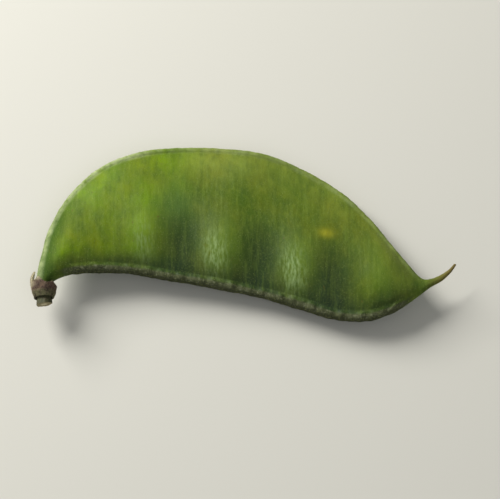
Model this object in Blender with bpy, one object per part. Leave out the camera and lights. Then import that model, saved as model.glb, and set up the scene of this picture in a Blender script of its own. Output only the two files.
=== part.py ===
"""One fresh hyacinth bean pod, as picked and lying on its side.

The broad green pod has a beaded seam along its nearly straight edge, where its seeds hang,
a thin rim round its bulging back edge, four seeds that swell both of its walls, and a
hooked beak. The neck of the pod stands in a withered calyx cup, and a short cut stalk
stands in a socket in the bottom of that cup.

X runs along the pod from the stalk end to the beak, Y from the seam to the back edge, and
Z up from the surface that the pod lies on.
"""

import math

import bmesh
import bpy
from mathutils import Euler, Matrix, Vector

MM = 0.001  # the pod is drawn in millimetres and built in metres

# Driving sizes, in millimetres
POD_LENGTH = 84.0  # stalk end of the seam to the tip of the beak
POD_WIDTH = 35.0  # seam to back edge, near the broadest place
WALL_TO_WALL = 6.4  # thickness half way across, between the seeds
SEED_SWELLS = (1.30, 1.55, 1.45, 1.15)  # how far each of the seeds pushes a wall out
NECK_RADIUS = 1.6
CALYX_LENGTH = 3.3
CALYX_TEETH = 5
CALYX_TOOTH = 2.3  # the tooth at the back edge, which is the longest
TOOTH_BEND = 0.10  # times a tooth's height squared, how far its tip bends in
STALK_RADIUS = 1.6
STALK_LENGTH = 1.9
GAP = 0.3  # left between pieces that touch

# The stub of neck, calyx and stalk points from the pod past the start of the seam
STUB_BASE = Vector((-0.070 * POD_LENGTH, -0.219 * POD_WIDTH))  # bottom of the calyx
STUB_TURN = math.radians(16.0)  # from -Y towards +X
CALYX_FLOOR = 1.0  # height of the floor that the neck stands on
CALYX_SOCKET = 0.6  # depth of the stalk's socket

# Ribs across the body, as shares of the pod's length and width: where the rib meets the
# seam, where it meets the back edge, and its thickness as a share of WALL_TO_WALL
BODY_RIBS = [
    ((-0.0476, -0.072), (-0.1042, -0.053), 0.66),
    ((-0.0202, -0.031), (-0.1060, 0.081), 0.80),
    ((0.0179, 0.006), (-0.1024, 0.275), 0.90),
    ((0.0714, 0.040), (-0.0726, 0.531), 0.96),
    ((0.1490, 0.067), (0.0060, 0.800), 1.00),
    ((0.2500, 0.080), (0.1460, 0.981), 1.00),
    ((0.3690, 0.090), (0.3095, 1.066), 1.00),
    ((0.4880, 0.090), (0.4700, 1.056), 1.00),
    ((0.6010, 0.070), (0.6130, 0.944), 1.00),
    ((0.7020, 0.046), (0.7200, 0.788), 0.98),
    ((0.7860, 0.080), (0.8010, 0.625), 0.88),
    ((0.8510, 0.169), (0.8620, 0.500), 0.66),
    ((0.8960, 0.281), (0.9020, 0.425), 0.38),
]
# The beak, from its root to its dry tip, in the same shares; it hooks towards the back edge
BEAK_RIBS = [
    ((0.9300, 0.372), (0.9280, 0.432), 0.250),
    ((0.9570, 0.428), (0.9520, 0.470), 0.190),
    ((0.9765, 0.492), (0.9695, 0.513), 0.140),
    ((0.9870, 0.549), (0.9800, 0.554), 0.105),
]
ROUND_SECTION = 0.5  # power of the section's curve that makes an ellipse
LENS_SECTION = 0.80  # the power for the body, which is sharper at its two edges

# The cord along the seam and the rim along the back edge: reach inwards, then half height
SEAM_CORD = (1.25, 1.50)
BACK_RIM = (0.75, 0.85)
CORD_FADES = (4.5, 12.0)  # a rib this narrow has no cord, and one this wide has all of it
SEAM_GROOVE = 0.55  # depth of the furrow between the two halves of the seam cord
SEAM_BEADS = 0.16  # how much the cord swells and shrinks, as a share of its height
BEAD_SPACING = 3.7

# The seeds hang in a row from the seam
SEED_FIRST_X = 0.153 * POD_LENGTH
SEED_SPACING = 0.2155 * POD_LENGTH
SEED_FROM_SEAM = 0.360 * POD_WIDTH
SEED_HALF_LENGTH = 0.077 * POD_LENGTH
SEED_HALF_HEIGHT = 0.290 * POD_WIDTH
SEED_LEAN = math.radians(12.0)  # towards the stalk, away from the seam
SEED_CLEAR_OF_EDGE = 4.0  # the walls stay level this close to an edge

# How the green walls have warped as the pod grew
MIDDLE = Vector((0.41 * POD_LENGTH, 0.50 * POD_WIDTH))
END_LIFT = 2.0  # both ends curve up off the surface
TWIST = 1.1
BACK_WAVE = 0.45
BACK_WAVE_LENGTH = 27.0

# How it lies: turned a little towards its heavier side, its swollen walls pressed level
LEAN = math.radians(0.3)
FLAT_DEPTH = 0.32

# How finely the pod is drawn
RIB_STEP = 1.25
SEAM_RAILS = 6
BODY_RAILS = 12
BACK_RAILS = 4
CALYX_SIDES = 40
STALK_SIDES = 20
STALK_RINGS = 6
SHARP_EDGE = math.radians(50.0)


def smooth(value, low, high):
    """0 below low and 1 above high, with an easy curve between them."""
    share = min(1.0, max(0.0, (value - low) / (high - low)))
    return share * share * (3.0 - 2.0 * share)


def through(values, t):
    """The value at t on a Catmull-Rom curve through values, one apart."""
    last = len(values) - 1
    i = min(int(t), last - 1)
    f = t - i
    b, c = values[i], values[i + 1]
    a = values[i - 1] if i > 0 else b + (b - c)
    d = values[i + 2] if i + 2 <= last else c + (c - b)
    slope = (c - a) * 0.5
    bend = (a * 2 - b * 5 + c * 4 - d) * 0.5
    twist = ((b - c) * 3 + d - a) * 0.5
    return b + slope * f + bend * f**2 + twist * f**3


def stub_point(out, height):
    """The place this far out from the stub's axis, on the seam's side, and up from its base."""
    along = Vector((-math.sin(STUB_TURN), math.cos(STUB_TURN)))
    across = Vector((math.cos(STUB_TURN), math.sin(STUB_TURN)))
    return STUB_BASE + across * out + along * height


def all_ribs():
    """Each rib as (seam point, back point, thickness, section power)."""
    ribs = []
    for height in (CALYX_FLOOR + GAP, CALYX_LENGTH - 0.1):
        seam = stub_point(NECK_RADIUS, height)
        back = stub_point(-NECK_RADIUS, height)
        ribs.append((seam, back, 2 * NECK_RADIUS, ROUND_SECTION))
    for (seam_x, seam_y), (back_x, back_y), thickness in BODY_RIBS + BEAK_RIBS:
        seam = Vector((seam_x * POD_LENGTH, seam_y * POD_WIDTH))
        back = Vector((back_x * POD_LENGTH, back_y * POD_WIDTH))
        broad = smooth((back - seam).length, *CORD_FADES)
        power = ROUND_SECTION + (LENS_SECTION - ROUND_SECTION) * broad
        ribs.append((seam, back, thickness * WALL_TO_WALL, power))
    return ribs


RIBS = all_ribs()


def rib_at(t):
    """The rib at t, which counts ribs from the neck and need not be whole."""
    return [through([rib[column] for rib in RIBS], t) for column in range(4)]


def rib_places():
    """The values of t at which the pod has a ring, about RIB_STEP apart."""
    places = []
    for i, (near, far) in enumerate(zip(RIBS, RIBS[1:])):
        step = ((near[0] - far[0]).length + (near[1] - far[1]).length) / 2
        count = max(2, round(step / RIB_STEP))
        places += [i + k / count for k in range(count)]
    return [*places, float(len(RIBS) - 1)]


def rails(width):
    """Distances from the seam at which a rib of this width has a point on each wall."""
    seam_reach = 2 * min(SEAM_CORD[0], 0.13 * width)
    back_reach = 2 * min(BACK_RIM[0], 0.09 * width)
    middle_width = width - seam_reach - back_reach
    seam = [
        seam_reach * (1 - math.cos(math.pi * k / SEAM_RAILS)) / 2
        for k in range(SEAM_RAILS)
    ]
    middle = [
        seam_reach + middle_width * k / BODY_RAILS
        for k in range(BODY_RAILS)
    ]
    back = [
        width - back_reach * (1 + math.cos(math.pi * k / BACK_RAILS)) / 2
        for k in range(BACK_RAILS + 1)
    ]
    return seam + middle + back


def cord_height(from_edge, reach, height):
    """Half height of a round cord that lies along an edge and reaches both ways from its axis."""
    across = 1 - (from_edge / reach - 1) ** 2
    return height * math.sqrt(max(0.0, across))


def bead_size(x):
    """The seam cord's height at x, as a share of its usual height."""
    turn = 2 * math.pi * x / BEAD_SPACING
    return 1 + SEAM_BEADS * (0.6 * math.sin(turn) + 0.4 * math.sin(1.62 * turn + 1.0))


def half_height(from_seam, width, thickness, power, beads):
    """Half the thickness of a rib at a distance from the seam, without the seeds."""
    share = from_seam / width
    lens = thickness / 2 * max(0.0, 4 * share * (1 - share)) ** power
    cords = smooth(width, *CORD_FADES)
    seam = cord_height(from_seam, SEAM_CORD[0], SEAM_CORD[1] * cords * beads)
    back = cord_height(width - from_seam, BACK_RIM[0], BACK_RIM[1] * cords)
    return (lens**4 + seam**4 + back**4) ** 0.25


def seed_swell(x, y, from_seam, from_back):
    """How far the seeds push a wall out at x, y."""
    swell = 0.0
    for k, height in enumerate(SEED_SWELLS):
        aside = x - SEED_FIRST_X - SEED_SPACING * k
        up = y - SEED_FROM_SEAM
        along = aside * math.cos(SEED_LEAN) + up * math.sin(SEED_LEAN)
        across = up * math.cos(SEED_LEAN) - aside * math.sin(SEED_LEAN)
        out = (along / SEED_HALF_LENGTH) ** 2 + (across / SEED_HALF_HEIGHT) ** 2
        swell += height * math.exp(-out)
    seam = smooth(from_seam, 0.0, SEED_CLEAR_OF_EDGE)
    back = smooth(from_back, 0.0, SEED_CLEAR_OF_EDGE)
    return swell * seam * back


def warp(x, y):
    """Height of the sheet half way between the two walls."""
    along = (x - MIDDLE.x) / POD_LENGTH
    up = (y - MIDDLE.y) / POD_WIDTH
    wave = math.sin(2 * math.pi * x / BACK_WAVE_LENGTH) * max(0.0, y / POD_WIDTH) ** 3
    return 4 * END_LIFT * along**2 + 4 * TWIST * along * up + BACK_WAVE * wave


def ring(t):
    """The closed section at t: out along the upper wall from the seam, and back below."""
    seam, back, thickness, power = rib_at(t)
    across = (back - seam).normalized()
    width = (back - seam).length
    beads = bead_size(seam.x)
    upper, lower = [], []
    for from_seam in rails(width):
        place = seam + across * from_seam
        half = half_height(from_seam, width, thickness, power, beads)
        half += seed_swell(place.x, place.y, from_seam, width - from_seam)
        middle = warp(place.x, place.y)
        upper.append(Vector((place.x, place.y, middle + half)))
        lower.append(Vector((place.x, place.y, middle - half)))
    # The walls meet at both edges, and at the seam that line lies in a furrow.
    furrow = seam + across * SEAM_GROOVE * smooth(width, *CORD_FADES)
    upper[0] = Vector((furrow.x, furrow.y, warp(furrow.x, furrow.y)))
    upper[-1].z = warp(back.x, back.y)
    return upper + lower[-2:0:-1]


def loft(rings):
    """A closed mesh through the rings, with a flat face at each end."""
    mesh = bmesh.new()
    rows = [[mesh.verts.new(point) for point in points] for points in rings]
    sides = len(rows[0])
    for near, far in zip(rows, rows[1:]):
        for k in range(sides):
            n = (k + 1) % sides
            mesh.faces.new((near[k], near[n], far[n], far[k]))
    mesh.faces.new(rows[0])
    mesh.faces.new(rows[-1])
    bmesh.ops.recalc_face_normals(mesh, faces=mesh.faces)
    return mesh


def pod_mesh():
    return loft([ring(t) for t in rib_places()])


def stub_mesh(columns):
    """A closed mesh round the stub's axis, from one list of (radius, height) for each side."""
    rings = []
    for row in zip(*columns):
        points = []
        for k, (radius, height) in enumerate(row):
            turn = 2 * math.pi * k / len(columns)
            points.append(Vector((radius * math.cos(turn), height, radius * math.sin(turn))))
        rings.append(points)
    mesh = loft(rings)
    base = Vector((*STUB_BASE, warp(*stub_point(0.0, CALYX_LENGTH / 2))))
    place = Matrix.Translation(base) @ Matrix.Rotation(STUB_TURN, 4, "Z")
    bmesh.ops.transform(mesh, matrix=place, verts=mesh.verts)
    return mesh


def calyx_column(turn):
    """The cup's outline on one side, from its socket round the rim to its floor. At turn 0
    that side faces the start of the seam, where the cup is lowest and its teeth shortest."""
    socket = STALK_RADIUS + GAP
    inside = NECK_RADIUS + GAP
    far_side = (1 - math.cos(turn)) / 2
    ridge = abs(2 * ((CALYX_TEETH * turn / (2 * math.pi)) % 1.0) - 1)
    tooth = CALYX_TOOTH * (1 - ridge) ** 1.6 * (0.15 + 0.85 * far_side)
    tooth *= 1 + 0.25 * math.sin(2 * turn + 0.8)
    side_top = CALYX_LENGTH - 0.80 + 0.90 * far_side
    rim = side_top + tooth
    lean = TOOTH_BEND * tooth**2
    pucker = 0.09 * math.cos(CALYX_TEETH * turn) + 0.07 * math.sin(3 * turn + 1.1)
    return [
        (socket, CALYX_SOCKET),
        (socket, 0.0),
        (socket + 0.30, -0.10),
        (inside + 0.50 + pucker, 0.50),
        (inside + 0.76 + pucker, 0.40 * CALYX_LENGTH),
        (inside + 0.86 + pucker, 0.62 * CALYX_LENGTH),
        (inside + 0.95 + pucker, side_top - 0.25 + 0.5 * tooth),
        (inside + 0.98 - lean, rim),
        (inside + 0.58 - lean, rim - 0.10),
        (inside + 0.40 - 0.04 * tooth, side_top - 0.30 + 0.4 * tooth),
        (inside + 0.04, 0.60 * CALYX_LENGTH),
        (inside, CALYX_FLOOR),
    ]


def calyx_mesh():
    """The withered cup round the neck, with its short uneven teeth."""
    turns = [2 * math.pi * k / CALYX_SIDES for k in range(CALYX_SIDES)]
    return stub_mesh([calyx_column(turn) for turn in turns])


def stalk_column(turn):
    """The stalk's outline on one side, from the socket to its slanting cut end."""
    column = []
    for k in range(STALK_RINGS + 1):
        share = k / STALK_RINGS
        clear = smooth(share, 0.35, 0.65)
        radius = STALK_RADIUS * (1 + clear * (0.06 * math.cos(5 * turn) + 0.08 * share))
        slant = 0.22 * math.cos(turn + 0.6) * clear
        column.append((radius, CALYX_SOCKET - GAP - STALK_LENGTH * share + slant))
    return column


def stalk_mesh():
    """The short cut stalk, which the pod hung from."""
    turns = [2 * math.pi * k / STALK_SIDES for k in range(STALK_SIDES)]
    return stub_mesh([stalk_column(turn) for turn in turns])


def lying_down(mesh):
    """The matrix that lays the pod on its side, with its lowest FLAT_DEPTH under Z = 0."""
    turn = Euler((LEAN, 0.0, 0.0)).to_matrix().to_4x4()
    lowest = min((turn @ vert.co).z for vert in mesh.verts)
    return Matrix.Translation((0.0, 0.0, -FLAT_DEPTH - lowest)) @ turn


def press_level(mesh, laid):
    """Ends the pod at the surface, which leaves the small flat spots that it rests on."""
    to_pod = laid.inverted()
    cut = bmesh.ops.bisect_plane(
        mesh,
        geom=mesh.verts[:] + mesh.edges[:] + mesh.faces[:],
        plane_co=to_pod.to_translation(),
        plane_no=to_pod.to_3x3() @ Vector((0.0, 0.0, 1.0)),
        clear_inner=True,
    )
    edges = [item for item in cut["geom_cut"] if isinstance(item, bmesh.types.BMEdge)]
    bmesh.ops.holes_fill(mesh, edges=edges)
    bmesh.ops.recalc_face_normals(mesh, faces=mesh.faces)


def finish(name, colour, roughness):
    """A Principled BSDF of this colour, given as linear red, green and blue."""
    made = bpy.data.materials.new(name)
    made.use_nodes = True
    shader = made.node_tree.nodes["Principled BSDF"]
    shader.inputs["Base Color"].default_value = (*colour, 1.0)
    shader.inputs["Roughness"].default_value = roughness
    shader.inputs["Metallic"].default_value = 0.0
    return made


def piece(name, mesh, material, laid):
    """An object of this mesh, which is in millimetres in the frame of its parent, laid."""
    data = bpy.data.meshes.new(name)
    bmesh.ops.scale(mesh, vec=(MM, MM, MM), verts=mesh.verts)
    mesh.to_mesh(data)
    mesh.free()
    data.materials.append(material)
    data.shade_smooth()
    data.set_sharp_from_angle(angle=SHARP_EDGE)
    made = bpy.data.objects.new(name, data)
    made.parent = laid
    bpy.context.scene.collection.objects.link(made)
    return made


def centre_over_origin(laid, pieces):
    """Moves the pod so that the box round it stands centred on the origin."""
    bpy.context.view_layer.update()
    points = [item.matrix_world @ vert.co for item in pieces for vert in item.data.vertices]
    for axis in (0, 1):
        values = [point[axis] for point in points]
        laid.location[axis] -= (min(values) + max(values)) / 2


def build():
    for item in list(bpy.data.objects):
        bpy.data.objects.remove(item)

    green_skin = finish("green_pod_skin", (0.150, 0.235, 0.030), 0.50)
    dry_calyx = finish("dry_calyx", (0.160, 0.105, 0.062), 0.85)
    cut_stalk = finish("cut_stalk", (0.120, 0.130, 0.045), 0.70)

    pod = pod_mesh()
    lying = lying_down(pod)
    press_level(pod, lying)

    laid = bpy.data.objects.new("laid_on_its_side", None)
    bpy.context.scene.collection.objects.link(laid)
    laid.location = lying.to_translation() * MM
    laid.rotation_euler = lying.to_euler()

    pieces = [
        piece("pod", pod, green_skin, laid),
        piece("calyx", calyx_mesh(), dry_calyx, laid),
        piece("stalk", stalk_mesh(), cut_stalk, laid),
    ]
    centre_over_origin(laid, pieces)


build()
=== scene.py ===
import math

import bmesh
import bpy
import numpy as np
from mathutils import Matrix, Vector, noise


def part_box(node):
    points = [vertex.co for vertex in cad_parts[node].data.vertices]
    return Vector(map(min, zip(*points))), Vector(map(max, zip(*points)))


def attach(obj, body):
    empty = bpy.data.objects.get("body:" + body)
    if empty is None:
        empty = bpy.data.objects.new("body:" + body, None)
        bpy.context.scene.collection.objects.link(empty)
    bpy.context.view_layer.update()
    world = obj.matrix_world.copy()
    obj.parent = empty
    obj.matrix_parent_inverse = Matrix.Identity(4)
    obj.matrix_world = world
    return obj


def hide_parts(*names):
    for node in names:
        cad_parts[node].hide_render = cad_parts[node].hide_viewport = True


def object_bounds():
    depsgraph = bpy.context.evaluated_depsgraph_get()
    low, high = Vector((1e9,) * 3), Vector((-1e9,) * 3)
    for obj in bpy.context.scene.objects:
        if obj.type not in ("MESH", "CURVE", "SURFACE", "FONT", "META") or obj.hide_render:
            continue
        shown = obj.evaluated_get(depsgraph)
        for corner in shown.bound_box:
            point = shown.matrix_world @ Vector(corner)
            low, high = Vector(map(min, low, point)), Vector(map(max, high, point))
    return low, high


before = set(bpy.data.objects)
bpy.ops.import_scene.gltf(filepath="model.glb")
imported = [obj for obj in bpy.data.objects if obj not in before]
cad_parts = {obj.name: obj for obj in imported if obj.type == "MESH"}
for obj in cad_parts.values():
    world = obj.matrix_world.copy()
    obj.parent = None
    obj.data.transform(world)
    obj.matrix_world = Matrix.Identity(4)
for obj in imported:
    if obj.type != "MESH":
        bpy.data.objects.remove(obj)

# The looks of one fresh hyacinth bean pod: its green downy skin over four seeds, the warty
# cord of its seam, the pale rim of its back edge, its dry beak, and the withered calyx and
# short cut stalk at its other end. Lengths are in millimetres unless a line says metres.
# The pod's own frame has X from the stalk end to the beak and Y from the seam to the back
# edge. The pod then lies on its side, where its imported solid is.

MM = 0.001
CAD_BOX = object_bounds()

# The pod's shape, as in its solid: its body, and how far each seed pushes a wall out
POD_LENGTH = 84.0
POD_WIDTH = 35.0
WALL_TO_WALL = 6.4
SEED_SWELLS = (1.30, 1.55, 1.45, 1.15)

# The stub: its neck stands in the calyx, which stands round the stalk.
NECK_RADIUS = 1.6
CALYX_LENGTH = 3.3
CALYX_TEETH = 5
CALYX_TOOTH = 2.3
TOOTH_BEND = 0.10
CALYX_FLOOR = 1.0
CALYX_SOCKET = 0.6
STALK_RADIUS = 1.6
STALK_LENGTH = 1.9
GAP = 0.3
STUB_BASE = np.array((-0.070 * POD_LENGTH, -0.219 * POD_WIDTH))
STUB_TURN = math.radians(16.0)

# How far the wall's veins lean towards the stalk as they rise
VEIN_LEAN = 0.21

# A yellow bruise on the upper wall: its place and its radius
BRUISE = (52.8, 20.3, 1.7)

# Ribs across the pod: seam point, back point, and thickness, as shares
BODY_RIBS = [
    ((-0.0476, -0.072), (-0.1042, -0.053), 0.66),
    ((-0.0202, -0.031), (-0.1060, 0.081), 0.80),
    ((0.0179, 0.006), (-0.1024, 0.275), 0.90),
    ((0.0714, 0.040), (-0.0726, 0.531), 0.96),
    ((0.1490, 0.067), (0.0060, 0.800), 1.00),
    ((0.2500, 0.080), (0.1460, 0.981), 1.00),
    ((0.3690, 0.090), (0.3095, 1.066), 1.00),
    ((0.4880, 0.090), (0.4700, 1.056), 1.00),
    ((0.6010, 0.070), (0.6130, 0.944), 1.00),
    ((0.7020, 0.046), (0.7200, 0.788), 0.98),
    ((0.7860, 0.080), (0.8010, 0.625), 0.88),
    ((0.8510, 0.169), (0.8620, 0.500), 0.66),
    ((0.8960, 0.281), (0.9020, 0.425), 0.38),
]
BEAK_RIBS = [
    ((0.9300, 0.372), (0.9280, 0.432), 0.250),
    ((0.9570, 0.428), (0.9520, 0.470), 0.190),
    ((0.9765, 0.492), (0.9695, 0.513), 0.140),
    ((0.9870, 0.549), (0.9800, 0.554), 0.105),
]

# The power that rounds a section: 0.5 gives a circle, and more gives a lens.
ROUND_SECTION = 0.5
LENS_SECTION = 0.80

# The seam's cord and the back rim: reach and height. Both fade where the pod is narrow.
SEAM_CORD = (1.25, 1.50)
BACK_RIM = (0.75, 0.85)
CORD_FADES = (4.5, 12.0)
SEAM_GROOVE = 0.55
SEAM_BEADS = 0.16
BEAD_SPACING = 3.7

# The row of seeds, each an oval that leans towards the stalk away from the seam
SEED_FIRST_X = 0.153 * POD_LENGTH
SEED_SPACING = 0.2155 * POD_LENGTH
SEED_FROM_SEAM = 0.360 * POD_WIDTH
SEED_HALF_LENGTH = 0.077 * POD_LENGTH
SEED_HALF_HEIGHT = 0.290 * POD_WIDTH
SEED_LEAN = math.radians(12.0)
SEED_CLEAR_OF_EDGE = 4.0
FIRST_HOLLOW_X = SEED_FIRST_X + 0.5 * SEED_SPACING

# How the whole pod bends, twists and waves, and how far it leans where it lies
MIDDLE = np.array((0.41 * POD_LENGTH, 0.50 * POD_WIDTH))
END_LIFT = 2.0
TWIST = 1.1
BACK_WAVE = 0.45
BACK_WAVE_LENGTH = 27.0
LEAN = math.radians(0.3)

# How finely the skin is drawn, how low a point may lie, and over how many neighbours on
# each side its normals are evened out
RING_STEP = 0.25
SEAM_RAILS = 18
BODY_RAILS = 78
BACK_RAILS = 9
LOWEST = 0.01
NORMAL_SPREAD = 3

# Hairs: how many, their length, their thickness, and the seed of their draw. Their tips
# may stand this far over the solids' top, and their roots are this deep in the skin.
POD_HAIRS = (12000, 0.45, 0.030, 7)
CALYX_HAIRS = (2500, 0.42, 0.030, 8)
HAIR_OVER_TOP = 0.16
HAIR_ROOT_DEPTH = 0.04

# The camera, how much of the image's width the pod takes, and the floor's width in metres
CAMERA_AZIMUTH = 12.0
CAMERA_ELEVATION = 70.0
CAMERA_LENS = 135.0
SENSOR = 36.0
POD_SHARE_OF_WIDTH = 0.80
FLOOR_SIZE = 6.0

# Each light: azimuth and elevation in degrees, distance and size in metres, watts, tint
LIGHTS = {
    "key": (-120.0, 36.0, 0.60, 0.32, 5.1, "#fffdf7"),
    "fill": (30.0, 55.0, 0.70, 0.50, 0.6, "#f2f6ff"),
}
ROOM_LIGHT = 0.31

# Mottles are lumps of noise. Each has its size in millimetres, its stretch, the two values
# of the noise between which it rises, its strength at most, and its detail.
EVEN = (1, 1, 1)
SKIN_MOTTLES = {
    # Blotches in the flesh, from 1 to 9 mm across as in a real wall
    "yellowing": (9.0, EVEN, 0.38, 0.68, 0.60, 6.0),
    "green": (6.0, (1, 1.4, 1), 0.44, 0.72, 0.55, 6.0),
    "shade": (2.6, (1, 1.6, 1), 0.42, 0.68, 0.42, 6.0),
    "grain": (1.0, (1, 1.8, 1), 0.48, 0.70, 0.30, 6.0),
    # Nerves are 0.1 to 0.3 mm wide, too fine to show at this size, so they are drawn wider.
    "pale_streak": (0.7, (1, 8, 8), 0.50, 0.74, 0.22, 3.0),
    "dark_streak": (1.1, (1, 6, 6), 0.50, 0.75, 0.28, 3.0),
    # Flecks of painted glint on the seeds' flanks, and single hair roots: 0.05 mm, drawn far
    # coarser
    "glint_fleck": (0.50, (1, 3.6, 3.6), 0.42, 0.68, 0.80, 5.0),
    "stipple": (0.40, EVEN, 0.52, 0.72, 0.20, 2.0),
    # Old scars, the seam's warts and its paler stretches, and chafed skin, at their real size, and
    # patches in the flanks' painted highlight
    "scar": (1.3, (1, 1.4, 1), 0.71, 0.75, 0.55, 3.0),
    "wart": (0.55, EVEN, 0.53, 0.66, 0.62, 3.0),
    "lipped": (3.0, EVEN, 0.45, 0.62, 0.70, 3.0),
    "chafed": (2.2, EVEN, 0.25, 0.65, 1.00, 3.0),
    "highlight_patches": (2.2, EVEN, 0.25, 0.65, 0.70, 3.0),
    # The skin's cells are 0.05 mm across, too fine to show, so they are drawn as 0.3 mm.
    "cells": (0.30, EVEN, 0.20, 0.80, 1.00, 4.0),
}
CALYX_MOTTLES = {
    "tan": (1.6, EVEN, 0.45, 0.65, 0.70, 3.0),
    "dark": (0.7, (1, 2.5, 1), 0.50, 0.66, 0.75, 3.0),
    # Its dry hairs are 0.02 mm thick, too fine to show, so their felt is drawn coarser.
    "felt": (0.25, EVEN, 0.50, 0.70, 0.45, 2.0),
}
STALK_MOTTLES = {
    "brown": (1.2, EVEN, 0.45, 0.62, 0.70, 3.0),
    # Fibres are 0.05 mm wide, too fine to show, so they are drawn wider.
    "fibre": (0.25, (1, 8, 1), 0.45, 0.62, 0.60, 3.0),
}
DOWN_MOTTLES = {"yellowing": (9.0, EVEN, 0.38, 0.68, 0.60, 3.0)}
FELT_MOTTLES = {"tan": (1.6, EVEN, 0.45, 0.65, 0.70, 3.0)}


def linear(hex_colour):
    """An sRGB hex colour as linear red, green, blue and alpha."""
    values = [int(hex_colour[i:i + 2], 16) / 255 for i in (1, 3, 5)]
    return (*[v / 12.92 if v <= 0.04045 else ((v + 0.055) / 1.055) ** 2.4 for v in values], 1.0)


def smooth(value, low, high):
    """0 below low and 1 above high, with an easy curve between them, for arrays too. With
    the greater value first it falls from 1 to 0 instead."""
    share = np.clip((value - low) / (high - low), 0.0, 1.0)
    return share * share * (3.0 - 2.0 * share)


def rough(points, size, seed=0.0):
    """Smooth noise from -1 to 1 at each point, with lumps of about this size."""
    shift = Vector((seed, 1.7 * seed, -2.3 * seed))
    flat = (points / size).reshape(-1, 3)
    values = [noise.noise(Vector(point) + shift) for point in flat]
    return np.array(values).reshape(points.shape[:-1])


def through(values, t):
    """The values at each t on a Catmull-Rom curve through the rows of values, one apart."""
    ends = np.concatenate(
        [[2 * values[0] - values[1]], values, [2 * values[-1] - values[-2]]]
    )
    i = np.minimum(t.astype(int), len(values) - 2)
    f = (t - i)[:, None]
    a, b, c, d = ends[i], ends[i + 1], ends[i + 2], ends[i + 3]
    slope = (c - a) * 0.5
    bend = (a * 2 - b * 5 + c * 4 - d) * 0.5
    twist = ((b - c) * 3 + d - a) * 0.5
    return b + slope * f + bend * f**2 + twist * f**3


def stub_point(out, height):
    """The place this far out from the stub's axis, on the seam's side, and up from its base."""
    along = np.array((-math.sin(STUB_TURN), math.cos(STUB_TURN)))
    across = np.array((math.cos(STUB_TURN), math.sin(STUB_TURN)))
    return STUB_BASE + across * out + along * height


def all_ribs():
    """One row for each rib: seam x and y, back x and y, thickness and section power."""
    ribs = []
    for height in (CALYX_FLOOR + GAP, CALYX_LENGTH - 0.1):
        seam = stub_point(NECK_RADIUS, height)
        back = stub_point(-NECK_RADIUS, height)
        ribs.append((*seam, *back, 2 * NECK_RADIUS, ROUND_SECTION))
    scale = np.array((POD_LENGTH, POD_WIDTH))
    for seam, back, thickness in BODY_RIBS + BEAK_RIBS:
        seam, back = np.array(seam) * scale, np.array(back) * scale
        broad = float(smooth(np.linalg.norm(back - seam), *CORD_FADES))
        power = ROUND_SECTION + (LENS_SECTION - ROUND_SECTION) * broad
        ribs.append((*seam, *back, thickness * WALL_TO_WALL, power))
    return np.array(ribs)


def rib_places(ribs):
    """The values of t at which the pod has a ring, about RING_STEP apart."""
    places = []
    for i, (near, far) in enumerate(zip(ribs, ribs[1:])):
        step = np.linalg.norm((near - far)[:2]) + np.linalg.norm((near - far)[2:4])
        count = max(3, round(step / 2 / RING_STEP))
        places += [i + k / count for k in range(count)]
    return np.array([*places, len(ribs) - 1.0])


def rails(width):
    """Distances from the seam of the points on each wall, one row for each rib's width."""
    seam_reach = 2 * np.minimum(SEAM_CORD[0], 0.13 * width)[:, None]
    back_reach = 2 * np.minimum(BACK_RIM[0], 0.09 * width)[:, None]
    width = width[:, None]
    at_seam = (1 - np.cos(math.pi * np.arange(SEAM_RAILS) / SEAM_RAILS)) / 2
    between = np.arange(BODY_RAILS) / BODY_RAILS
    at_back = (1 + np.cos(math.pi * np.arange(BACK_RAILS + 1) / BACK_RAILS)) / 2
    return np.hstack(
        [
            seam_reach * at_seam,
            seam_reach + (width - seam_reach - back_reach) * between,
            width - back_reach * at_back,
        ]
    )


def cord_height(from_edge, reach, height):
    across = 1 - (from_edge / reach - 1) ** 2
    return height * np.sqrt(np.maximum(0.0, across))


def bead_size(x):
    turn = 2 * math.pi * x / BEAD_SPACING
    return 1 + SEAM_BEADS * (0.6 * np.sin(turn) + 0.4 * np.sin(1.62 * turn + 1.0))


def seed_places(x, y):
    """How strongly each seed is felt at x, y, from 0 to 1, one array for each seed."""
    for k in range(len(SEED_SWELLS)):
        aside = x - SEED_FIRST_X - SEED_SPACING * k
        up = y - SEED_FROM_SEAM
        along = aside * math.cos(SEED_LEAN) + up * math.sin(SEED_LEAN)
        across = up * math.cos(SEED_LEAN) - aside * math.sin(SEED_LEAN)
        yield np.exp(-((along / SEED_HALF_LENGTH) ** 2) - (across / SEED_HALF_HEIGHT) ** 2)


def warp(x, y):
    """Height of the sheet half way between the two walls."""
    along = (x - MIDDLE[0]) / POD_LENGTH
    up = (y - MIDDLE[1]) / POD_WIDTH
    wave = np.sin(2 * math.pi * x / BACK_WAVE_LENGTH) * np.maximum(0.0, y / POD_WIDTH) ** 3
    return 4 * END_LIFT * along**2 + 4 * TWIST * along * up + BACK_WAVE * wave


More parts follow.
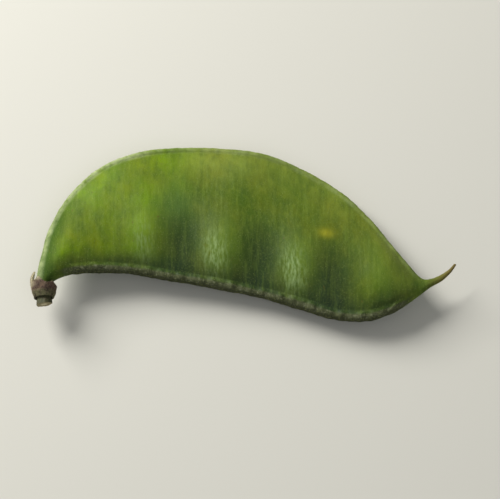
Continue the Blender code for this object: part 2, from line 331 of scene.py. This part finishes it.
def pod_grid():
    """The pod's rings as an array of points, with what is known at each point by name."""
    ribs = all_ribs()
    rows = through(ribs, rib_places(ribs))
    seam, back, thickness, power = rows[:, 0:2], rows[:, 2:4], rows[:, 4:5], rows[:, 5:6]
    width = np.linalg.norm(back - seam, axis=1)
    across = ((back - seam) / width[:, None])[:, None, :]
    from_seam = rails(width)
    width = width[:, None]
    from_back = width - from_seam
    place = seam[:, None, :] + across * from_seam[:, :, None]
    x, y = place[..., 0], place[..., 1]

    cords = smooth(width, *CORD_FADES)
    lens = thickness / 2 * np.maximum(0.0, 4 * from_seam * from_back / width**2) ** power
    beads = bead_size(seam[:, 0:1])
    cord = cord_height(from_seam, SEAM_CORD[0], SEAM_CORD[1] * cords * beads)
    rim = cord_height(from_back, BACK_RIM[0], BACK_RIM[1] * cords)
    half = (lens**4 + cord**4 + rim**4) ** 0.25
    edges = smooth(from_seam, 0.0, SEED_CLEAR_OF_EDGE) * smooth(from_back, 0.0, SEED_CLEAR_OF_EDGE)
    felt = list(seed_places(x, y))
    half += edges * sum(swell * seed for swell, seed in zip(SEED_SWELLS, felt))
    half[:, 0] = 0.0
    half[:, -1] = 0.0
    furrow = (SEAM_GROOVE * cords * across[:, 0, :])
    x[:, 0] += furrow[:, 0]
    y[:, 0] += furrow[:, 1]

    middle = warp(x, y)
    known = {
        "x": x,
        "y": y,
        "from_seam": from_seam,
        "from_back": from_back,
        "broad": np.broadcast_to(cords, x.shape),
        "seed": sum(felt),
    }
    upper = np.stack([x, y, middle + half], axis=-1)
    lower = np.stack([x, y, middle - half], axis=-1)
    points = np.concatenate([upper, lower[:, -2:0:-1]], axis=1)
    known = {name: np.concatenate([v, v[:, -2:0:-1]], axis=1) for name, v in known.items()}
    return points, known


def ring_normals(points, spread=0):
    """Outward normals of a grid of rings, whose rows close on themselves. Each is the mean
    of its neighbours up to spread away in its ring, so that narrow grooves don't pinch."""
    along = np.gradient(points, axis=0)
    round_it = np.roll(points, -1, axis=1) - np.roll(points, 1, axis=1)
    normals = np.cross(along, round_it)
    normals /= np.maximum(1e-9, np.linalg.norm(normals, axis=2, keepdims=True))
    normals = sum(np.roll(normals, k, axis=1) for k in range(-spread, spread + 1))
    return normals / np.maximum(1e-9, np.linalg.norm(normals, axis=2, keepdims=True))


def seed_hollows(x, y, from_seam):
    """How far each place lies in a hollow between two seeds, from 0 to 1."""
    in_row = smooth(x, 3.0, 15.0) * smooth(x, 77.0, 66.0)
    beside_seam = np.exp(-(((from_seam - 8.5) / 7.0) ** 2))
    seed = np.minimum(1.0, sum(seed_places(x, y)))
    return np.minimum(1.0, 1.5 * in_row * beside_seam * (1 - seed) ** 1.3)


def skin_relief(points, known):
    """How far the skin stands out of the smooth pod: lumps, nerves, seam warts, edge."""
    x, y, from_seam, from_back, broad = (
        known[name] for name in ("x", "y", "from_seam", "from_back", "broad")
    )
    z = points[..., 2]
    lumps = 0.14 * rough(points, 9.0) + 0.06 * rough(points, 3.6, 4.0)
    hollows = -0.45 * seed_hollows(x, y, from_seam)

    # Nerves run straight up from the seam, and finer ones cross them in a loose net.
    upright = np.stack([x + VEIN_LEAN * y, y / 7.0, z / 7.0], axis=-1)
    nerve = np.maximum(0.0, 1 - np.abs(rough(upright, 1.6, 7.0)) * 3.0)
    net = np.maximum(0.0, 1 - np.abs(rough(points, 1.5, 11.0)) * 3.2)
    nerves = 0.030 * nerve + 0.022 * net

    # The walls pucker where they are drawn down to the seam.
    pulled = np.stack([x + VEIN_LEAN * y, y / 5.0, z / 5.0], axis=-1)
    pucker = 0.22 * rough(pulled, 2.3, 21.0) * np.exp(-(((from_seam - 3.6) / 3.4) ** 2))

    # Warts cover the two lips of the seam, and a groove parts them.
    warts = np.maximum(0.0, rough(points, 0.85, 31.0) + 0.10)
    groove = np.exp(-((from_seam / 0.38) ** 2))
    lips = smooth(from_seam, 2.5, 1.3) * (1 - 0.6 * groove)
    seam = lips * (0.20 * warts + 0.06 * rough(points, 0.42, 37.0)) - 0.16 * groove

    edge = smooth(from_back, 1.9, 0.8) * 0.07 * rough(points, 0.9, 41.0)
    return broad * (lumps + hollows + nerves + pucker + edge) + (0.3 + 0.7 * broad) * seam


def lay_down(points, shift):
    """Points of the pod's own frame where the pod lies, still in millimetres."""
    turn = np.array(Matrix.Rotation(LEAN, 3, "X"))
    return points @ turn.T + shift


def box_of(points):
    flat = points.reshape(-1, 3)
    return flat.min(axis=0), flat.max(axis=0)


def resting_shift(points):
    """What takes the turned pod to where its solid is: over its middle, and its top level."""
    low, high = box_of(lay_down(points, np.zeros(3)))
    cad_low, cad_high = (np.array(corner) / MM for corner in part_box("pod"))
    shift = (cad_low + cad_high - low - high) / 2
    shift[2] = cad_high[2] - high[2]
    return shift


def grid_mesh(name, points, facts, closed_ends=True):
    """A mesh through rings of points in millimetres, with each fact as a point attribute."""
    rings, sides = points.shape[:2]
    index = np.arange(rings * sides).reshape(rings, sides)
    near, far = index[:-1], index[1:]
    quads = np.stack(
        [near, np.roll(near, -1, axis=1), np.roll(far, -1, axis=1), far], axis=-1
    ).reshape(-1, 4)
    faces = [tuple(quad) for quad in quads.tolist()]
    if closed_ends:
        faces += [tuple(index[0][::-1].tolist()), tuple(index[-1].tolist())]
    data = bpy.data.meshes.new(name)
    data.from_pydata((points.reshape(-1, 3) * MM).tolist(), [], faces)
    data.update()
    for fact, values in facts.items():
        vector = values.ndim == 3
        kind = "FLOAT_VECTOR" if vector else "FLOAT"
        attribute = data.attributes.new(fact, kind, "POINT")
        flat = values.astype(np.float32).ravel()
        attribute.data.foreach_set("vector" if vector else "value", flat)
    shell = bmesh.new()
    shell.from_mesh(data)
    bmesh.ops.recalc_face_normals(shell, faces=shell.faces)
    shell.to_mesh(data)
    shell.free()
    data.shade_smooth()
    made = bpy.data.objects.new(name, data)
    bpy.context.scene.collection.objects.link(made)
    return made


def add_node(tree, kind, settings=None, links=None):
    """A node with its settings, and its inputs linked or set. A socket that is linked is
    given as (input, node, output)."""
    node = tree.nodes.new(kind)
    for name, value in (settings or {}).items():
        if isinstance(name, str) and hasattr(node, name) and name not in node.inputs:
            setattr(node, name, value)
        else:
            node.inputs[name].default_value = value
    for socket, source, output in links or ():
        tree.links.new(source.outputs[output], node.inputs[socket])
    return node


def paint(name, roughness, ior, layers_of):
    """A material whose node tree is a Principled BSDF that layers_of completes."""
    material = bpy.data.materials.new(name)
    material.use_nodes = True
    tree = material.node_tree
    shader = tree.nodes["Principled BSDF"]
    shader.inputs["Roughness"].default_value = roughness
    shader.inputs["IOR"].default_value = ior
    layers_of(tree, shader)
    return material


def shares_of(tree, facts, mottles):
    """What a material's colours follow, from 0 to 1, as one (node, output) for each name:
    the facts that the mesh holds at each point, and the mottles of a table."""
    place = add_node(tree, "ShaderNodeAttribute", {"attribute_name": "place"})
    shares = {
        name: (add_node(tree, "ShaderNodeAttribute", {"attribute_name": name}), "Fac")
        for name in facts
    }
    for name, (size, stretch, low, high, most, detail) in mottles.items():
        scaled = add_node(
            tree,
            "ShaderNodeVectorMath",
            {"operation": "MULTIPLY", 1: tuple(1 / (size * s) for s in stretch)},
            [(0, place, "Vector")],
        )
        lumps = add_node(
            tree,
            "ShaderNodeTexNoise",
            {"Scale": 1.0, "Detail": detail, "Roughness": 0.55},
            [("Vector", scaled, "Vector")],
        )
        share = add_node(
            tree,
            "ShaderNodeMapRange",
            {"From Min": low, "From Max": high, "To Min": 0.0, "To Max": most},
            [("Value", lumps, "Fac")],
        )
        shares[name] = (share, "Result")
    return shares


def lay_colours(tree, shader, shares, ground, layers):
    """The base colour: layers over a ground, one after another. Each has a hex colour and
    the names of the shares that it follows, which are multiplied where there are two."""
    below = None
    for colour, *names in layers:
        node, output = shares[names[0]]
        for name in names[1:]:
            links = [(0, node, output), (1, *shares[name])]
            node, output = add_node(tree, "ShaderNodeMath", {"operation": "MULTIPLY"}, links), 0
        settings = {"data_type": "RGBA", 6: linear(ground), 7: linear(colour)}
        links = [(0, node, output)] + ([(6, below, 2)] if below else [])
        below = add_node(tree, "ShaderNodeMix", settings, links)
    tree.links.new(below.outputs[2], shader.inputs["Base Color"])


def lay_relief(tree, shader, shares, weights, strength, height):
    """Small relief in the shader's normal, this many millimetres high: some of the shares
    by their weights."""
    below = None
    for name, weight in weights.items():
        links = [(0, *shares[name])] + ([(2, below, 0)] if below else [])
        settings = {"operation": "MULTIPLY_ADD", 1: weight, 2: 0.0}
        below = add_node(tree, "ShaderNodeMath", settings, links)
    bump = add_node(
        tree,
        "ShaderNodeBump",
        {"Strength": strength, "Distance": height * MM},
        [("Height", below, 0)],
    )
    tree.links.new(bump.outputs["Normal"], shader.inputs["Normal"])


def skin_layers(tree, shader):
    """A living pod wall: a thin waxy cuticle, whose IOR is about 1.45, over juicy green
    flesh. It gives a soft satin shine, and the light that enters it softens its edges. It is
    yellowest near the stalk and pale on the seeds. Painted shade makes the hollows by the seam
    dark and greyish and darkens the seam and the shoulder by the stalk, and painted highlights
    pale the seeds' flanks."""
    facts = (
        "stalk_end", "back", "shoulder_shadow", "hollow_shade", "shade_over_hollow", "swell", "flank_highlight", "cord", "groove",
        "rim", "dry", "bruise",
    )
    shares = shares_of(tree, facts, SKIN_MOTTLES)
    lay_colours(
        tree,
        shader,
        shares,
        "#4a5f0e",
        [
            ("#819038", "back"),
            ("#6a8a02", "stalk_end"),
            ("#666c12", "yellowing"),
            ("#435f17", "green"),
            ("#38521a", "shade"),
            ("#74842a", "grain"),
            ("#6f8a2c", "swell"),
            # Painted shadow on the shoulder by the stalk
            ("#2f4c1b", "shoulder_shadow"),
            # Painted shade fading up over the first hollow
            ("#4c6d3a", "shade_over_hollow"),
            # Painted shade in the hollows between the seeds and along the seam
            ("#1d2e24", "hollow_shade"),
            ("#304716", "dark_streak"),
            ("#748a36", "pale_streak"),
            # Painted highlight and glints on the seeds' flanks
            ("#5f7a3a", "flank_highlight", "highlight_patches"),
            ("#98b078", "flank_highlight", "glint_fleck"),
            ("#768a44", "stipple"),
            ("#9c9a24", "bruise"),
            ("#5c5222", "scar"),
            ("#a3b07f", "rim", "chafed"),
            # The cord's own grey-green, darkened further as painted shade, under its paler lips
            # and warts
            ("#454a31", "cord"),
            ("#585d42", "cord", "lipped"),
            ("#7a7f63", "cord", "wart"),
            # Painted shade in the seam's groove
            ("#272b14", "groove"),
            ("#6e5c33", "dry"),
        ],
    )

    # Satin where it is green, duller where it yellows, and dullest on the cord and on the shoulder
    # by the stalk, where shadow is painted
    dull = add_node(
        tree,
        "ShaderNodeMapRange",
        {"From Min": 0.0, "From Max": 0.6, "To Min": 0.46, "To Max": 0.60},
        [("Value", *shares["yellowing"])],
    )
    for name, more in {"cord": 0.30, "shoulder_shadow": 0.40}.items():
        links = [(0, *shares[name]), (2, dull, 0)]
        dull = add_node(tree, "ShaderNodeMath", {"operation": "MULTIPLY_ADD", 1: more}, links)
    tree.links.new(dull.outputs[0], shader.inputs["Roughness"])

    flesh_and_down = {
        "Specular IOR Level": 0.16,
        "Subsurface Weight": 0.10,
        "Subsurface Radius": (0.9, 1.0, 0.3),
        "Subsurface Scale": 1.0 * MM,
        "Sheen Weight": 0.05,
        "Sheen Roughness": 0.35,
        "Sheen Tint": linear("#dfe6c4"),
    }
    for socket, value in flesh_and_down.items():
        shader.inputs[socket].default_value = value
    lay_relief(tree, shader, shares, {"pale_streak": 2.0, "cells": 1.0}, 0.55, 0.05)


def calyx_layers(tree, shader):
    """Withered sepals on a still green base: dry, thin and crumpled, so they give no shine.
    They are purple-brown, with cream tips to their teeth."""
    shares = shares_of(tree, ("edge", "base"), CALYX_MOTTLES)
    layers = [
        ("#6b5844", "tan"),
        ("#4d5130", "base"),
        ("#2b1c16", "dark"),
        ("#c4bd9c", "edge"),
        ("#8a7a66", "felt"),
    ]
    lay_colours(tree, shader, shares, "#4a322c", layers)
    lay_relief(tree, shader, shares, {"dark": 1.0}, 0.7, 0.06)


def stalk_layers(tree, shader):
    """A green woody stalk: dull bark with fibres along it, and a paler, dry cut end whose
    pith is palest."""
    shares = shares_of(tree, ("cut", "pith"), STALK_MOTTLES)
    layers = [
        ("#3e3424", "brown"),
        ("#505230", "fibre"),
        ("#847a55", "cut"),
        ("#b7ad88", "pith"),
    ]
    lay_colours(tree, shader, shares, "#3a3c22", layers)
    lay_relief(tree, shader, shares, {"fibre": 1.0}, 0.6, 0.04)


def down_layers(tree, shader):
    """Short green-white plant hairs, which soften the pod's edges like a pale bloom."""
    shares = shares_of(tree, ("tip",), DOWN_MOTTLES)
    layers = [("#969a4c", "yellowing"), ("#b3bf85", "tip")]
    lay_colours(tree, shader, shares, "#8b9a50", layers)


def felt_layers(tree, shader):
    """The calyx's own hairs, dried to tan, which give it a dusty edge."""
    shares = shares_of(tree, ("tip",), FELT_MOTTLES)
    lay_colours(tree, shader, shares, "#7c6a54", [("#95835f", "tan"), ("#b5a888", "tip")])


def pod_facts(points, known):
    """What the pod's skin is painted by, at each point."""
    x, y, from_seam, from_back, broad = (
        known[name] for name in ("x", "y", "from_seam", "from_back", "broad")
    )
    upright = x + VEIN_LEAN * (y - SEED_FROM_SEAM)
    seed_x = SEED_FIRST_X + SEED_SPACING * np.round((upright - SEED_FIRST_X) / SEED_SPACING)
    before_hollow = upright - FIRST_HOLLOW_X

    # Painted highlights: pale slopes on the stalk's side of the second and third seeds, where they
    # face the light, and a faint one before
    beside_crest = np.exp(-(((upright - seed_x + 2.3) / 2.5) ** 2))
    beside_crest *= smooth(x, 20.0, 27.0) * smooth(x, 62.0, 56.0)
    beside_crest += 0.50 * np.exp(-(((before_hollow + 9.6) / 2.0) ** 2))
    flank_highlight = beside_crest * np.exp(-(((from_seam - 7.6) / 4.2) ** 2))

    # Painted shade: dark hollows between the seeds, the third stretched towards the stalk as a
    # painted shadow, and a dark band along the seam. More painted shade fades up over the first
    # hollow.
    above_hollow = np.exp(-(((before_hollow + 2.6) / 4.5) ** 2))
    shade_over_hollow = 0.50 * above_hollow * np.exp(-(((from_seam - 17.5) / 5.5) ** 2))
    towards_stalk = 0.8 + 1.6 * smooth(x, 46.0, 53.0)
    seam_shade = (0.32 + 0.10 * smooth(x, 8.0, 30.0)) * smooth(from_seam, 6.8, 1.5) * broad
    hollow_shade = 0.76 * seed_hollows(x + towards_stalk, y, from_seam) + seam_shade

    # The back half is paler, most of all near the stalk, and its rim is palest.
    paler = (0.95 - 0.30 * smooth(x, 20.0, 34.0)) * smooth(x, -3.0, 5.0)
    rim = smooth(from_back, 2.1, 0.7) * (0.26 * broad + 0.66 * smooth(x, 14.0, 3.0))
    # Painted shadow darkens the back edge's shoulder by the stalk.
    shoulder_shadow = 0.80 * smooth(from_back, 6.5, 1.5) * smooth(y, 20.0, 9.0)

    from_bruise = ((x - BRUISE[0]) ** 2 + (1.5 * (y - BRUISE[1])) ** 2) / BRUISE[2] ** 2
    on_top = points[..., 2] > warp(x, y)
    return {
        "place": np.stack([x + VEIN_LEAN * y, y, points[..., 2]], axis=-1),
        "stalk_end": 0.9 * smooth(x, 24.0, 11.0) * smooth(from_seam, 2.0, 6.0),
        "back": smooth(from_back, 13.0, 2.0) * paler,
        "shoulder_shadow": shoulder_shadow,
        "shade_over_hollow": shade_over_hollow,
        "hollow_shade": np.minimum(0.90, hollow_shade),
        "swell": 0.34 * np.minimum(1.0, known["seed"]) ** 2 * smooth(from_seam, 3.0, 9.0),
        "flank_highlight": flank_highlight,
        "cord": smooth(from_seam, 1.8, 1.1) * broad,
        # Painted shade along the bottom of the seam's groove
        "groove": 0.55 * smooth(from_seam, 0.7, 0.15) * broad,
        "rim": rim,
        "dry": 0.9 * smooth(x, 76.0, 83.0),
        "bruise": 0.68 * np.exp(-from_bruise) * on_top,
    }


def make_pod():
    points, known = pod_grid()
    shift = resting_shift(points)
    facts = pod_facts(points, known)
    normals = ring_normals(points, NORMAL_SPREAD)
    points = points + normals * skin_relief(points, known)[..., None]
    points = lay_down(points, shift)
    points[..., 2] = np.maximum(points[..., 2], LOWEST)
    pod = grid_mesh("pod_skin", points, facts)
    return pod, points, facts, shift


def stub_grid(columns):
    """Points round the stub's axis, in the pod's own frame, from an array of radius and
    height with one row for each ring and one column for each side."""
    radius, height = columns[..., 0], columns[..., 1]
    turn = 2 * math.pi * np.arange(columns.shape[1]) / columns.shape[1]
    out, z = radius * np.cos(turn), radius * np.sin(turn)
    x = STUB_BASE[0] + out * math.cos(STUB_TURN) - height * math.sin(STUB_TURN)
    y = STUB_BASE[1] + out * math.sin(STUB_TURN) + height * math.cos(STUB_TURN)
    level = warp(*stub_point(0.0, CALYX_LENGTH / 2))
    return np.stack([x, y, level + z], axis=-1)


def finer(profile, steps):
    """A profile of (radius, height) rows, each an array over the sides, drawn smoothly."""
    count = len(profile)
    rows = np.array(profile).reshape(count, -1)
    t = np.linspace(0, count - 1, (count - 1) * steps + 1)
    return through(rows, t).reshape(len(t), 2, -1).transpose(0, 2, 1)


def make_calyx(shift):
    sides = 200
    turn = 2 * math.pi * np.arange(sides) / sides
    level = 0 * turn
    socket = STALK_RADIUS + GAP + level
    inside = NECK_RADIUS + GAP

    # Its rim is higher and its teeth longer on the far side, at the pod's back edge.
    far_side = (1 - np.cos(turn)) / 2
    side_top = CALYX_LENGTH - 0.80 + 0.90 * far_side
    ridge = np.abs(2 * ((CALYX_TEETH * turn / (2 * math.pi)) % 1.0) - 1)
    tooth = CALYX_TOOTH * (1 - ridge) ** 1.6 * (0.15 + 0.85 * far_side)
    tooth *= 1 + 0.25 * np.sin(2 * turn + 0.8)
    rim = side_top + tooth
    lean = TOOTH_BEND * tooth**2
    pucker = 0.09 * np.cos(CALYX_TEETH * turn) + 0.07 * np.sin(3 * turn + 1.1)
    profile = [
        (socket, CALYX_SOCKET + level),
        (socket, level),
        (socket + 0.30, level - 0.10),
        (inside + 0.50 + pucker, level + 0.50),
        (inside + 0.76 + pucker, level + 0.40 * CALYX_LENGTH),
        (inside + 0.86 + pucker, level + 0.62 * CALYX_LENGTH),
        (inside + 0.95 + pucker, side_top - 0.25 + 0.5 * tooth),
        (inside + 0.98 - lean, rim),
        (inside + 0.58 - lean, rim - 0.10),
        (inside + 0.40 - 0.04 * tooth, side_top - 0.30 + 0.4 * tooth),
        (inside + 0.04 + level, level + 0.60 * CALYX_LENGTH),
        (inside + level, level + CALYX_FLOOR),
    ]
    columns = finer(profile, 8)
    points = stub_grid(columns)
    normals = ring_normals(points, NORMAL_SPREAD)

    # It crumples on its outside, and less where it is thin, at its rim.
    row = np.arange(len(columns))
    outer = smooth(row, 10, 22) * smooth(row, 72, 60)
    off_rim = 1 - 0.75 * smooth(row, 42, 52)
    crumple = 0.10 * rough(points, 1.1, 51.0) + 0.05 * rough(points, 0.45, 57.0)
    points = points + normals * (crumple * (outer * off_rim)[:, None])[..., None]

    # Its teeth are dry and pale at their tips, and so is a patch beside the longest.
    height = columns[..., 1]
    tips = 0.92 * smooth(height, CALYX_LENGTH - 0.2, CALYX_LENGTH + 1.0)
    dry_side = 0.85 * smooth(height, 1.7, 2.7) * np.exp(-(((turn - 2.75) / 0.42) ** 2))
    facts = {
        "place": points.copy(),
        "edge": np.maximum(tips, dry_side),
        "base": 0.85 * smooth(height, 1.9, 0.7),
        "outer": outer[:, None] + 0 * height,
    }
    points = lay_down(points, shift)
    calyx = grid_mesh("calyx_withered", points, facts)
    return calyx, points, facts


def make_stalk(shift):
    sides, rings, inward = 72, 26, 10
    turn = 2 * math.pi * np.arange(sides) / sides
    level = 0 * turn
    slant = 0.22 * np.cos(turn + 0.6)
    grooves = 0.06 * np.cos(5 * turn) + 0.03 * np.cos(13 * turn + 0.7)
    rows, cut, pith = [], [], []
    for k in range(rings + 1):
        share = k / rings
        clear = float(smooth(share, 0.35, 0.65))
        radius = STALK_RADIUS * (1 + clear * (grooves + 0.08 * share))
        height = CALYX_SOCKET - GAP - STALK_LENGTH * share + slant * clear
        rows.append(np.stack([radius, height], axis=-1))
        cut.append(smooth(share, 0.96, 1.0) + level)
        pith.append(level)
    radius, height = rows[-1][:, 0], rows[-1][:, 1]
    for k in range(1, inward):
        share = 1 - k / inward
        dish = 0.10 * math.sin(math.pi * min(1.0, 1.6 * (1 - share)))
        end = height * share + (1 - share) * height.mean() + dish
        rows.append(np.stack([radius * share, end], axis=-1))
        cut.append(1 + level)
        pith.append(smooth(share, 0.55, 0.35) + level)
    points = stub_grid(np.array(rows))
    facts = {"place": points.copy(), "cut": np.array(cut), "pith": np.array(pith)}
    return grid_mesh("stalk_cut", lay_down(points, shift), facts)


def hair_facts(data, verts, count):
    """Where each point of the hairs is, and how near its tip, for their colours."""
    place = data.attributes.new("place", "FLOAT_VECTOR", "POINT")
    place.data.foreach_set("vector", verts.astype(np.float32).ravel())
    near_tip = np.tile([0, 0, 0, 0.35, 0.35, 0.35, 0.8], count)
    tip = data.attributes.new("tip", "FLOAT", "POINT")
    tip.data.foreach_set("value", near_tip.astype(np.float32))


def grow_down(name, points, density, hairs):
    """Short hairs rooted all over a grid of rings, laid over towards its last ring. Each is
    a closed three-sided blade. density says where they grow, at each point of the grid.
    Real hairs are 0.02 mm thick and far more crowded, so these are drawn fewer and thicker."""
    count, length, thickness, seed = hairs
    draw = np.random.default_rng(seed)
    normals = ring_normals(points)
    right = np.roll(points, -1, axis=1)
    side = np.linalg.norm(right - points, axis=2)[:-1]
    step = np.linalg.norm(points[1:] - points[:-1], axis=2)
    weight = (side * step * density[:-1]).ravel()
    cells = draw.choice(len(weight), size=count, p=weight / weight.sum())
    ring, rail = np.unravel_index(cells, side.shape)
    u, v = draw.random((2, count, 1))
    nearer = points[ring, rail] * (1 - u) + right[ring, rail] * u
    further = points[ring + 1, rail] * (1 - u) + right[ring + 1, rail] * u
    root = nearer * (1 - v) + further * v
    normal = normals[ring, rail]
    flow = further - nearer
    flow /= np.maximum(1e-9, np.linalg.norm(flow, axis=1, keepdims=True))
    aside = np.cross(normal, flow)
    swing = draw.normal(0.0, 0.7, (count, 1))
    lie = flow * np.cos(swing) + aside * np.sin(swing)
    lift = draw.uniform(0.35, 0.75, (count, 1))
    half = 0.5 * length * draw.uniform(0.6, 1.2, (count, 1))
    middle = root + (lie * (1 - lift) + normal * lift) * half
    tip = middle + (lie * (1.15 - lift) + normal * (lift - 0.15)) * half
    root = root - normal * HAIR_ROOT_DEPTH

    across = np.cross(normal, lie)
    rise = np.cross(lie, across)
    corners = [(math.cos(a), math.sin(a)) for a in np.radians((90, 210, 330))]
    verts = [root + (across * c + rise * s) * thickness / 2 for c, s in corners]
    verts += [middle + (across * c + rise * s) * thickness * 0.38 for c, s in corners]
    verts = np.stack([*verts, tip], axis=1).reshape(-1, 3)
    verts[:, 2] = np.clip(verts[:, 2], 2 * LOWEST, CAD_BOX[1][2] / MM + HAIR_OVER_TOP)
    blade = [(2, 1, 0), (0, 1, 4, 3), (1, 2, 5, 4), (2, 0, 3, 5), (3, 4, 6), (4, 5, 6), (5, 3, 6)]
    faces = [tuple(7 * k + i for i in face) for k in range(count) for face in blade]
    data = bpy.data.meshes.new(name)
    data.from_pydata((verts * MM).tolist(), [], faces)
    data.update()
    hair_facts(data, verts, count)
    data.shade_smooth()
    made = bpy.data.objects.new(name, data)
    bpy.context.scene.collection.objects.link(made)
    return made


def belongs(piece, material, slot, *nodes):
    """The piece gets its material, rides on the part and stands for these solids."""
    piece.data.materials.clear()
    piece.data.materials.append(material)
    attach(piece, "root")
    if nodes:
        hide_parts(*nodes)


def seen_from(azimuth, elevation):
    """The direction from the pod to an eye at these angles, in degrees."""
    a, e = math.radians(azimuth), math.radians(elevation)
    return Vector((math.sin(a) * math.cos(e), -math.cos(a) * math.cos(e), math.sin(e)))


def look_along(thing, back):
    """A camera or lamp looks back along the direction to it, and joins the scene."""
    thing.rotation_mode = "QUATERNION"
    thing.rotation_quaternion = (-back).to_track_quat("-Z", "Y")
    bpy.context.scene.collection.objects.link(thing)


def make_camera():
    low, high = CAD_BOX
    back = seen_from(CAMERA_AZIMUTH, CAMERA_ELEVATION)
    half_angle = math.atan(SENSOR / 2 / CAMERA_LENS)
    width = (high.x - low.x) * math.cos(math.radians(CAMERA_AZIMUTH))
    distance = width / POD_SHARE_OF_WIDTH / 2 / math.tan(half_angle)
    data = bpy.data.cameras.new("camera")
    data.lens = CAMERA_LENS
    data.sensor_width = SENSOR
    data.clip_start = 0.01
    data.clip_end = 20.0
    camera = bpy.data.objects.new("camera", data)
    camera.location = (low + high) / 2 + back * distance
    look_along(camera, back)
    bpy.context.scene.camera = camera


def make_light(name, azimuth, elevation, distance, size, power, tint):
    """A square soft light that looks at the pod."""
    back = seen_from(azimuth, elevation)
    data = bpy.data.lights.new(name, "AREA")
    data.size = size
    data.energy = power
    data.color = linear(tint)[:3]
    light = bpy.data.objects.new(name, data)
    light.location = back * distance
    look_along(light, back)


def floor_layers(tree, shader):
    """A plain pale painted board, nearly without shine, so that shadows stay soft."""
    shader.inputs["Base Color"].default_value = linear("#d2d1ca")
    shader.inputs["Specular IOR Level"].default_value = 0.15


def make_stage():
    bpy.ops.mesh.primitive_plane_add(size=FLOOR_SIZE, location=(0, 0, 0))
    floor = bpy.context.object
    floor.name = "floor"
    floor.data.materials.append(paint("pale_board", 0.9, 1.5, floor_layers))
    world = bpy.data.worlds.new("soft_room")
    bpy.context.scene.world = world
    world.use_nodes = True
    background = world.node_tree.nodes["Background"]
    background.inputs["Color"].default_value = linear("#e6e6e0")
    background.inputs["Strength"].default_value = ROOM_LIGHT


def main():
    pod, pod_points, pod_known, shift = make_pod()
    calyx, calyx_points, calyx_known = make_calyx(shift)
    stalk = make_stalk(shift)
    belongs(pod, paint("fresh_pod_skin", 0.45, 1.45, skin_layers), "pod_skin", "pod")
    belongs(calyx, paint("withered_sepals", 0.85, 1.45, calyx_layers), "dry_calyx", "calyx")
    belongs(stalk, paint("cut_green_stalk", 0.70, 1.45, stalk_layers), "cut_stalk", "stalk")

    # Down grows all over the pod but where it lies, and most of all on its two edges.
    off_floor = smooth(pod_points[..., 2], 0.3, 1.0)
    on_edges = 1 + 5.0 * pod_known["rim"] + 2.5 * pod_known["cord"]
    down = grow_down("pod_down", pod_points, off_floor * on_edges, POD_HAIRS)
    belongs(down, paint("fresh_plant_hair", 0.6, 1.5, down_layers), "pod_skin")

    # Felt grows on the outside of the calyx, and most of all on its teeth.
    felted = (0.25 + smooth(calyx_known["edge"], 0.0, 0.4)) * calyx_known["outer"]
    felt = grow_down("calyx_down", calyx_points, felted, CALYX_HAIRS)
    belongs(felt, paint("dried_plant_hair", 0.7, 1.5, felt_layers), "dry_calyx")

    make_stage()
    make_camera()
    for name, placing in LIGHTS.items():
        make_light(name, *placing)
    bpy.context.scene.view_settings.view_transform = "Standard"


main()
